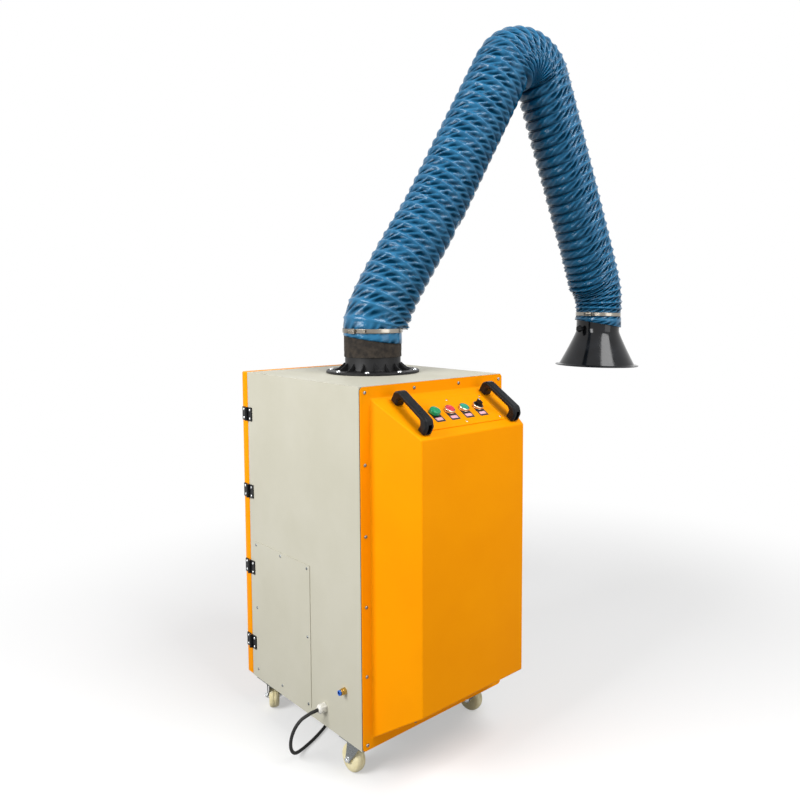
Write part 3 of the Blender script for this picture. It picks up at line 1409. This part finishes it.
def swivel_sleeve(swivel):
    """The rubber sleeve that turns on the collar's tube and carries the shoulder yoke."""
    inner = running_bore(COLLAR_TUBE_RADIUS, ROUND_SEGMENTS)
    ledge = COLLAR_TUBE_HEIGHT + PIECE_GAP
    bore = COLLAR_TUBE_RADIUS - COLLAR_TUBE_WALL
    profile = [
        (inner, SLEEVE_BOTTOM),
        (SLEEVE_RADIUS, SLEEVE_BOTTOM),
        (SLEEVE_RADIUS, SLEEVE_TOP),
        (bore, SLEEVE_TOP),
        (bore, ledge),
        (inner, ledge),
    ]
    bar_high = SLEEVE_TOP - SHEET
    bar = box(
        centred(YOKE_BAR_WIDTH),
        centred(2 * bore + SHEET),
        (bar_high - YOKE_BAR_HEIGHT, bar_high),
    )
    half_gap = LINK_THICKNESS / 2 + PIECE_GAP
    joins = [bar]
    for side in (-1, 1):
        outline = capsule(SHOULDER_UP - bar_high + SHEET - EYE_RADIUS, EYE_RADIUS)
        limits = sorted((side * half_gap, side * (half_gap + CHEEK_THICKNESS)))
        lug = prism([(across, -along) for along, across in outline], limits, "Y")
        joins.append(moved(lug, (0, 0, SHOULDER_UP)))
    pin = disc(PIVOT_PIN_RADIUS, centred(2 * (half_gap + SHEET)), SMALL_SEGMENTS, "Y")
    joins.append(moved(pin, (0, 0, SHOULDER_UP)))
    sleeve = turned(profile, ring=True)
    piece("swivel_sleeve", sleeve, GREY_RUBBER, swivel, joined(*joins))


def fork_end(length):
    """The root block, two cheeks and pin at a link's far end, along +X from its start."""
    half_gap = LINK_THICKNESS / 2 + PIECE_GAP
    outer = half_gap + CHEEK_THICKNESS
    cheek_start = length - CHEEK_LENGTH
    block = box(
        (cheek_start - ROOT_LENGTH, cheek_start + ROOT_LENGTH / 3),
        centred(2 * outer),
        centred(LINK_WIDTH * ROOT_WIDTH_SHARE),
    )
    shapes = [block]
    for side in (-1, 1):
        limits = sorted((side * half_gap, side * outer))
        cheek = prism(capsule(CHEEK_LENGTH, EYE_RADIUS), limits, "Y")
        shapes.append(moved(cheek, (cheek_start, 0, 0)))
    pin = disc(PIVOT_PIN_RADIUS, centred(2 * (half_gap + SHEET)), SMALL_SEGMENTS, "Y")
    shapes.append(moved(pin, (length, 0, 0)))
    return shapes


def arm_link(name, start, end, parent):
    """A support link from its eye at start to its fork at end, both in the arm's plane."""
    run = end - start
    length = run.length
    outline = capsule(length - CHEEK_LENGTH - ROOT_LENGTH / 2, EYE_RADIUS)
    bar = prism(outline, centred(LINK_THICKNESS), "Y")
    bore = disc(
        running_bore(PIVOT_PIN_RADIUS, SMALL_SEGMENTS),
        centred(LINK_THICKNESS + 2 * OVERRUN),
        SMALL_SEGMENTS,
        "Y",
    )
    tilt = frame(f"{name}_frame", parent, rotation=(0, -math.atan2(run.y, run.x), 0))
    piece(name, bar, ZINC, tilt, joined(*fork_end(length)) + without(bore))


def bend_tangent(turn_angle, radius):
    """The distance from a bend's corner to where its arc starts."""
    return radius * math.tan(abs(turn_angle) / 2)


def bend_point(corner, heading_in, heading_out, radius, along):
    """The centre and heading at a distance along a bend, counted from its corner's arc start.

    A negative distance lies on the straight before the arc, and one past the arc lies on the
    straight after it.
    """
    turn_angle = heading_out - heading_in
    reach = bend_tangent(turn_angle, radius)
    start = corner - reach * heading_vector(heading_in)
    arc = abs(turn_angle) * radius
    if along <= 0:
        return start + along * heading_vector(heading_in), heading_in
    if along >= arc:
        end = corner + reach * heading_vector(heading_out)
        return end + (along - arc) * heading_vector(heading_out), heading_out
    side = math.copysign(1, turn_angle)
    to_centre = heading_vector(heading_in + side * math.pi / 2)
    heading = heading_in + side * along / radius
    centre = start + radius * to_centre
    return centre - radius * heading_vector(heading + side * math.pi / 2), heading


def hose_stations(point_at, start, end, origin, radii, tip_radii=None):
    """Stations of a ribbed hose: a valley and a crest for each rib, along point_at."""
    length = end - start
    ribs = max(2, round(length / HOSE_RIB_PITCH))
    stations = []
    for step in range(2 * ribs + 1):
        share = step / (2 * ribs)
        centre, heading = point_at(start + share * length)
        radius = radii[step % 2]
        if tip_radii:
            radius += share * (tip_radii[step % 2] - radii[step % 2])
        place = centre - origin
        tangent = Vector((math.cos(heading), 0, math.sin(heading)))
        stations.append((Vector((place.x, 0, place.y)), tangent, radius))
    return stations


def hose_piece(name, stations, parent, bore_steps):
    """One stretch of ribbed hose with its plain bore."""
    last = len(stations) - 1
    count = max(1, bore_steps)
    indices = sorted({round(last * step / count) for step in range(count + 1)})
    bore = [(index, HOSE_BORE_RADIUS) for index in indices]
    piece(name, swept(stations, HOSE_SIDES, bore), BLUE_HOSE, parent)


def hose(shoulder, elbow, wrist):
    """The hose in five stretches: three that bend at the joints and two straight ones."""
    radii = (HOSE_VALLEY_RADIUS, HOSE_RIB_RADIUS)
    tip = (HOSE_TIP_VALLEY_RADIUS, HOSE_TIP_RIB_RADIUS)
    upright = math.pi / 2

    base_turn = LOWER_HEADING - upright
    base_reach = SHOULDER_UP - SLEEVE_TOP - PIECE_GAP
    base_radius = base_reach / math.tan(abs(base_turn) / 2)
    base_arc = abs(base_turn) * base_radius

    def base_at(along):
        return bend_point(SHOULDER, upright, LOWER_HEADING, base_radius, along)

    elbow_turn = UPPER_HEADING - LOWER_HEADING
    elbow_arc = abs(elbow_turn) * ELBOW_BEND_RADIUS
    elbow_reach = bend_tangent(elbow_turn, ELBOW_BEND_RADIUS)

    def elbow_at(along):
        return bend_point(
            ELBOW_CORNER, LOWER_HEADING, UPPER_HEADING, ELBOW_BEND_RADIUS, along
        )

    wrist_turn = HOOD_HEADING - UPPER_HEADING
    wrist_arc = abs(wrist_turn) * WRIST_BEND_RADIUS
    wrist_reach = bend_tangent(wrist_turn, WRIST_BEND_RADIUS)

    def wrist_at(along):
        return bend_point(WRIST, UPPER_HEADING, HOOD_HEADING, WRIST_BEND_RADIUS, along)

    lower_start = base_reach + BEND_STRAIGHT
    lower_end = LOWER_RUN - elbow_reach - BEND_STRAIGHT
    upper_start = elbow_reach + BEND_STRAIGHT
    upper_end = UPPER_RUN - wrist_reach - BEND_STRAIGHT

    def lower_at(along):
        return SHOULDER + along * heading_vector(LOWER_HEADING), LOWER_HEADING

    def upper_at(along):
        return ELBOW_CORNER + along * heading_vector(UPPER_HEADING), UPPER_HEADING

    gap = PIECE_GAP
    base = hose_stations(base_at, 0, base_arc + BEND_STRAIGHT - gap, SHOULDER, radii)
    hose_piece("hose_shoulder_bend", base, shoulder, 6)
    lower = hose_stations(lower_at, lower_start, lower_end, SHOULDER, radii)
    hose_piece("hose_lower", lower, shoulder, 1)
    bend = hose_stations(
        elbow_at, gap - BEND_STRAIGHT, elbow_arc + BEND_STRAIGHT - gap, ELBOW, radii
    )
    hose_piece("hose_elbow_bend", bend, elbow, 12)
    upper = hose_stations(upper_at, upper_start, upper_end, ELBOW, radii)
    hose_piece("hose_upper", upper, elbow, 1)
    tip_end = wrist_arc - wrist_reach + HOSE_HEM
    end = hose_stations(wrist_at, gap - BEND_STRAIGHT, tip_end, WRIST, radii, tip)
    hose_piece("hose_hood_bend", end, wrist, 6)


def suction_hood(hood_frame):
    """The black hood: neck, cone and lip, with the bar that its pivot lug stands on.

    The hood's frame has its origin on the wrist and its z axis up the hood's own axis.
    """
    sheet = HOOD_SHEET
    profile = [
        (NECK_RADIUS - sheet, -NECK_TOP),
        (NECK_RADIUS - sheet, -CONE_TOP),
        (CONE_RADIUS - sheet, -LIP_DROP + sheet),
        (CONE_RADIUS - sheet, -LIP_DROP),
        (LIP_RADIUS, -LIP_DROP),
        (LIP_RADIUS, -LIP_DROP + sheet),
        (CONE_RADIUS, -LIP_DROP + sheet),
        (NECK_RADIUS, -CONE_TOP),
        (NECK_RADIUS, -NECK_TOP),
    ]
    bar = box(
        centred(LINK_WIDTH),
        centred(2 * NECK_RADIUS - sheet),
        (-NECK_TOP - HOOD_BAR, -NECK_TOP),
    )
    outline = capsule(NECK_TOP + HOOD_BAR / 2 - EYE_RADIUS, EYE_RADIUS)
    eye = prism([(across, -along) for along, across in outline], centred(LINK_THICKNESS), "Y")
    bore = disc(
        running_bore(PIVOT_PIN_RADIUS, SMALL_SEGMENTS),
        centred(LINK_THICKNESS + 2 * OVERRUN),
        SMALL_SEGMENTS,
        "Y",
    )
    shaft = disc(
        running_bore(DAMPER_SHAFT_RADIUS, SMALL_SEGMENTS),
        centred(2 * (NECK_RADIUS + OVERRUN)),
        SMALL_SEGMENTS,
        "X",
    )
    shaft = moved(shaft, (0, 0, -DAMPER_DOWN))
    hood = turned(profile, ring=True)
    steps = joined(bar) + without(shaft) + joined(eye) + without(bore)
    piece("suction_hood", hood, BLACK_PLASTIC, hood_frame, steps)


def airflow_damper(hood_frame):
    """The butterfly flap in the hood's neck, its shaft, the lever and the knob outside.

    The flap's upper and lower edges are straight, so that it clears the bar above it.
    """
    axis = frame("damper_axis", hood_frame, (0, 0, -DAMPER_DOWN))
    top = math.asin(DAMPER_HALF_HEIGHT / DAMPER_RADIUS)
    outline = []
    for start in (-top, math.pi - top):
        for step in range(DAMPER_ARC_STEPS + 1):
            angle = start + 2 * top * step / DAMPER_ARC_STEPS
            outline.append((DAMPER_RADIUS * math.cos(angle), DAMPER_RADIUS * math.sin(angle)))
    flap = prism(outline, centred(DAMPER_THICKNESS), "Y")
    outside = NECK_RADIUS + PIECE_GAP
    knob_start = outside + DAMPER_STUD
    shaft = disc(
        DAMPER_SHAFT_RADIUS, (-knob_start - SHEET, knob_start + SHEET), SMALL_SEGMENTS, "X"
    )
    knob = disc(
        DAMPER_KNOB_RADIUS, (-knob_start - DAMPER_KNOB_LENGTH, -knob_start), SMALL_SEGMENTS, "X"
    )
    lever = box(
        (knob_start, knob_start + DAMPER_LEVER_THICKNESS),
        centred(DAMPER_LEVER_WIDTH),
        (-DAMPER_LEVER_LENGTH, DAMPER_LEVER_WIDTH / 2),
    )
    piece("airflow_damper", flap, BLACK_PLASTIC, axis, joined(shaft, knob, lever))


def arm(parent):
    """Roof collar, swivel, the two links, the hose and the hood."""
    base = frame("collar_base", parent, (COLLAR_FROM_LEFT, COLLAR_FROM_FRONT, BODY_HEIGHT))
    collar_flange(base)
    swivel = frame("arm_swivel_axis", base, rotation=(0, 0, math.radians(ARM_YAW)))
    swivel_sleeve(swivel)
    shoulder = frame("shoulder_axis", swivel, (SHOULDER.x, 0, SHOULDER.y))
    step = ELBOW - SHOULDER
    elbow = frame("elbow_axis", shoulder, (step.x, 0, step.y))
    step = WRIST - ELBOW
    wrist = frame("wrist_axis", elbow, (step.x, 0, step.y))
    arm_link("lower_support_arm", SHOULDER, ELBOW, shoulder)
    arm_link("upper_support_arm", ELBOW, WRIST, elbow)
    hose(shoulder, elbow, wrist)
    hood_frame = frame("hood_frame", wrist, rotation=(0, math.radians(HOOD_LEAN), 0))
    suction_hood(hood_frame)
    airflow_damper(hood_frame)


# Casters


def caster_plate(name, place):
    """The fixed top plate with its bearing race and the hole for the king pin."""
    plate = box(
        centred(CASTER_PLATE_WIDTH),
        centred(CASTER_PLATE_LENGTH),
        (-PIECE_GAP - CASTER_PLATE, -PIECE_GAP),
    )
    low = -PIECE_GAP - CASTER_PLATE - RACE_HEIGHT
    race = disc(RACE_RADIUS, (low, -PIECE_GAP - CASTER_PLATE / 2), MEDIUM_SEGMENTS)
    hole = disc(
        running_bore(KINGPIN_RADIUS, SMALL_SEGMENTS),
        (low - OVERRUN, -PIECE_GAP - SHEET),
        SMALL_SEGMENTS,
    )
    piece(f"caster_plate_{name}", plate, ZINC, place, joined(race) + without(hole))


def caster_fork(name, swivel):
    """The swivelling fork: king pin, crown, two legs and the axle with its nuts."""
    crown_top = -2 * PIECE_GAP - CASTER_PLATE - RACE_HEIGHT
    crown_low = crown_top - 2 * FORK_SHEET
    inner = WHEEL_WIDTH / 2 + FORK_SIDE_GAP
    outer = inner + FORK_SHEET
    axle_down = CASTER_HEIGHT - WHEEL_RADIUS
    crown = box(
        centred(2 * outer),
        centred(FORK_CROWN_LENGTH),
        (crown_low, crown_top),
    )
    pin = disc(
        KINGPIN_RADIUS, (crown_low + FORK_SHEET, -2 * PIECE_GAP - SHEET), SMALL_SEGMENTS
    )
    half = FORK_CROWN_LENGTH / 2
    foot = FORK_FOOT_RADIUS
    slant = FORK_FOOT_SHARE * foot
    outline = [
        (-half, crown_top - FORK_SHEET / 2),
        (-half, crown_low),
        (CASTER_TRAIL - foot, -axle_down),
        (CASTER_TRAIL - slant, -axle_down - slant),
        (CASTER_TRAIL, -axle_down - foot),
        (CASTER_TRAIL + slant, -axle_down - slant),
        (CASTER_TRAIL + foot, -axle_down),
        (half, crown_low),
        (half, crown_top - FORK_SHEET / 2),
    ]
    shapes = [pin]
    for side in (-1, 1):
        shapes.append(prism(outline, sorted((side * inner, side * outer)), "X"))
        nut = sorted((side * (outer - FORK_SHEET / 2), side * (outer + AXLE_NUT_LENGTH)))
        nut = disc(AXLE_NUT_RADIUS, nut, 6, "X")
        shapes.append(moved(nut, (0, CASTER_TRAIL, -axle_down)))
    axle = disc(AXLE_RADIUS, centred(2 * outer), SMALL_SEGMENTS, "X")
    shapes.append(moved(axle, (0, CASTER_TRAIL, -axle_down)))
    piece(f"caster_fork_{name}", crown, ZINC, swivel, joined(*shapes))


def caster_wheel(name, swivel):
    """The crowned nylon wheel on its axle; a facet of its tread rests on the floor."""
    tread = WHEEL_RADIUS / math.cos(math.pi / WHEEL_SEGMENTS)
    edge = tread - WHEEL_CROWN
    half = WHEEL_WIDTH / 2
    middle = half * WHEEL_TREAD_SHARE
    bore = running_bore(AXLE_RADIUS, SMALL_SEGMENTS)
    profile = [(bore, -half), (edge, -half), (tread, -middle), (tread, middle), (edge, half), (bore, half)]
    spin = frame(
        f"wheel_axis_{name}", swivel, (0, CASTER_TRAIL, -(CASTER_HEIGHT - WHEEL_RADIUS))
    )
    wheel = turned(profile, WHEEL_SEGMENTS, "X", ring=True, flat_below=True)
    piece(f"caster_wheel_{name}", wheel, CREAM_NYLON, spin)


def casters(parent):
    """Four swivel casters under the cabinet's corners."""
    for name, angle in CASTER_TRAIL_ANGLES.items():
        left = name.endswith("left")
        front = name.startswith("front")
        across = CASTER_FROM_SIDE if left else BODY_WIDTH - CASTER_FROM_SIDE
        back = CASTER_FROM_FRONT if front else BODY_DEPTH - CASTER_FROM_FRONT
        place = frame(f"caster_{name}", parent, (across, back, 0))
        caster_plate(name, place)
        swivel = frame(f"caster_swivel_{name}", place, rotation=(0, 0, math.radians(angle)))
        caster_fork(name, swivel)
        caster_wheel(name, swivel)


# Mains cable


def coil_points():
    """The coil's centre line: two layers, spiralling in and then out again, and its tail."""
    count = COIL_TURNS * COIL_POINTS
    layer_turns = COIL_TURNS / 2
    outer = COIL_INNER_RADIUS + COIL_STEP * layer_turns
    low = FLOOR + CORD_RADIUS
    climb = 2 * CORD_RADIUS + 3 * PIECE_GAP
    points = []
    for step in range(count + 1):
        turns = step / COIL_POINTS
        if turns <= layer_turns:
            radius = outer - COIL_STEP * turns
        else:
            radius = COIL_INNER_RADIUS + COIL_STEP * (turns - layer_turns)
        climbed = turns - layer_turns + COIL_CLIMB_SHARE / 2
        share = min(max(climbed / COIL_CLIMB_SHARE, 0), 1)
        angle = -math.pi / 2 + 2 * math.pi * turns
        points.append(
            Vector(
                (
                    COIL_CENTRE[0] + radius * math.cos(angle),
                    COIL_CENTRE[1] + radius * math.sin(angle),
                    low + climb * share,
                )
            )
        )
    return points


def least_gap(points, radius):
    """The smallest clearance between stretches of a coil at least half a turn apart."""
    apart = COIL_POINTS // 2
    least = math.inf
    for index, start in enumerate(points[:-1]):
        for other in range(index + apart, len(points) - 1):
            near = segment_distance(start, points[index + 1], points[other], points[other + 1])
            least = min(least, near)
    return least - 2 * radius


def segment_distance(start, end, other_start, other_end):
    """The distance between two short segments, measured at nine places on each."""
    least = math.inf
    for step in range(5):
        point = start.lerp(end, step / 4)
        along = other_end - other_start
        share = (point - other_start).dot(along) / along.length_squared
        near = other_start + min(max(share, 0), 1) * along
        least = min(least, (point - near).length)
    return least


def cord_curve(name, points, bevel_resolution, parent):
    """A round cord through points, as a curve with filled ends."""
    curve = bpy.data.curves.new(name, "CURVE")
    curve.dimensions = "3D"
    curve.bevel_depth = CORD_RADIUS
    curve.bevel_resolution = bevel_resolution
    curve.use_fill_caps = True
    spline = curve.splines.new("POLY")
    spline.points.add(len(points) - 1)
    for target, point in zip(spline.points, points):
        target.co = (*point, 1)
    spline.use_smooth = True
    curve.materials.append(material(BLACK_RUBBER))
    made = bpy.data.objects.new(name, curve)
    bpy.context.scene.collection.objects.link(made)
    made.parent = parent
    return made


def smooth_route(points, spacing):
    """Evenly spaced points on a smooth curve through a route's own points."""
    dense = []
    padded = [2 * points[0] - points[1], *points, 2 * points[-1] - points[-2]]
    for before, start, end, after in zip(padded, padded[1:], padded[2:], padded[3:]):
        for step in range(24):
            share = step / 24
            square = share * share
            cube = square * share
            dense.append(
                0.5
                * (
                    2 * start
                    + (end - before) * share
                    + (2 * before - 5 * start + 4 * end - after) * square
                    + (3 * start - before - 3 * end + after) * cube
                )
            )
    dense.append(points[-1])
    total = sum((later - earlier).length for earlier, later in zip(dense, dense[1:]))
    count = max(2, round(total / spacing))
    made = [dense[0]]
    target = total / count
    passed = 0.0
    for earlier, later in zip(dense, dense[1:]):
        length = (later - earlier).length
        while passed + length >= target and len(made) < count:
            made.append(earlier.lerp(later, (target - passed) / length))
            target += total / count
        passed += length
    made.append(dense[-1])
    return made


CORD_ROUTE = [
    (-0.052, 0.168, 0.049),
    (-0.069, 0.172, 0.042),
    (-0.083, 0.180, 0.022),
    (-0.087, 0.194, -0.012),
    (-0.077, 0.212, -0.052),
    (-0.052, 0.232, -0.083),
    (-0.010, 0.254, -0.0945),
    (0.050, 0.280, -0.0952),
    (0.110, 0.318, -0.0952),
    (0.146, 0.372, -0.0952),
    (0.156, 0.440, -0.0952),
    (0.158, 0.500, -0.0952),
    (0.166, 0.545, -0.0952),
]


def mains_cable(parent):
    """The cable from the gland, under the cabinet, to its coil and plug behind."""
    coil = coil_points()
    start = Vector((-PIECE_GAP - GLAND_LENGTH - PIECE_GAP, GLAND_FROM_FRONT, GLAND_UP))
    lead_in = coil[0] - (coil[1] - coil[0]).normalized() * 6 * CORD_RADIUS
    entry = lead_in - PIECE_GAP * (coil[0] - lead_in).normalized()
    coil = [lead_in, *coil]
    along = (coil[-1] - coil[-2]).normalized()
    flat = Vector((along.x, along.y, 0)).normalized()
    rising = coil[-1] + flat * 6 * CORD_RADIUS
    rising.z = FLOOR + PLUG_RADIUS
    coil += [rising, rising + flat * 3 * CORD_RADIUS]
    print(f"coil: least gap to itself {1000 * least_gap(coil, CORD_RADIUS):.2f} mm")
    cord_curve("mains_cable_coil", coil, 1, parent)

    toward = (coil[1] - coil[0]).normalized()
    straight = 4 * CORD_RADIUS
    leaving = start - Vector((straight, 0, 0))
    arriving = entry - toward * straight
    route = [leaving, *[Vector(point) for point in CORD_ROUTE], arriving]
    route = [start, *smooth_route(route, 5 * CORD_RADIUS), entry]
    cord_curve("mains_cable", route, 2, parent)

    plug_start = coil[-1] + flat * PIECE_GAP
    heading = math.atan2(flat.y, flat.x)
    plug_frame = frame("plug_frame", parent, plug_start, (0, 0, heading))
    boot = PLUG_LENGTH / 2
    profile = [
        (0, 0),
        (PLUG_BOOT_SHARE * CORD_RADIUS, 0),
        (2 * CORD_RADIUS, boot),
        (PLUG_RADIUS, boot + CORD_RADIUS),
        (PLUG_RADIUS, boot + PLUG_LENGTH / 2),
        (0, boot + PLUG_LENGTH / 2),
    ]
    body = turned(profile, MEDIUM_SEGMENTS, "X")
    pins = []
    for side in (-1, 1):
        pin_start = boot + PLUG_LENGTH / 2 - SHEET
        pin = disc(PIN_RADIUS, (pin_start, pin_start + PIN_LENGTH + SHEET), SMALL_SEGMENTS, "X")
        pins.append(moved(pin, (0, side * PIN_SPREAD / 2, 0)))
    piece("mains_plug", body, BLACK_RUBBER, plug_frame, joined(*pins))


def main():
    """Builds the whole machine."""
    clear_scene()
    origin = frame("machine_origin", None)
    cabinet = frame("cabinet_frame", origin, (-CENTRE_X, -CENTRE_Y, CASTER_HEIGHT))
    cabinet_shell(cabinet)
    front_casing(cabinet)
    front_gasket(cabinet)
    service_panel(cabinet)
    cable_gland(cabinet)
    air_inlet_fitting(cabinet)

    slope = frame(
        "slope_frame", cabinet, (BODY_WIDTH / 2, 0, NOSE_BACK_TOP), (SLOPE_ANGLE, 0, 0)
    )
    control_plate(slope)
    controls(slope)
    bridge_handle("left_handle", -HANDLE_SPREAD / 2, slope)
    bridge_handle("right_handle", HANDLE_SPREAD / 2, slope)

    hinge_axis = frame("door_hinge_axis", cabinet, (-HINGE_AXIS_OUT, HINGE_AXIS_BACK, 0))
    for index in range(HINGE_COUNT):
        fixed_hinge(index, hinge_axis)
    rear_door(hinge_axis)
    door_gasket(hinge_axis)
    door_lock(hinge_axis)

    filter_bulkhead(cabinet)
    filter_cartridge(cabinet)
    dust_tray(cabinet)
    spark_baffle(cabinet)
    fan_axis = frame("fan_axis", cabinet, (*CHAMBER_CENTRE, 0))
    fan_housing(fan_axis)
    fan_motor(fan_axis)
    fan_impeller(fan_axis)
    air_tank(cabinet)
    pulse_valve(cabinet)
    electrical_panel(cabinet)

    arm(cabinet)
    casters(cabinet)
    mains_cable(cabinet)


main()
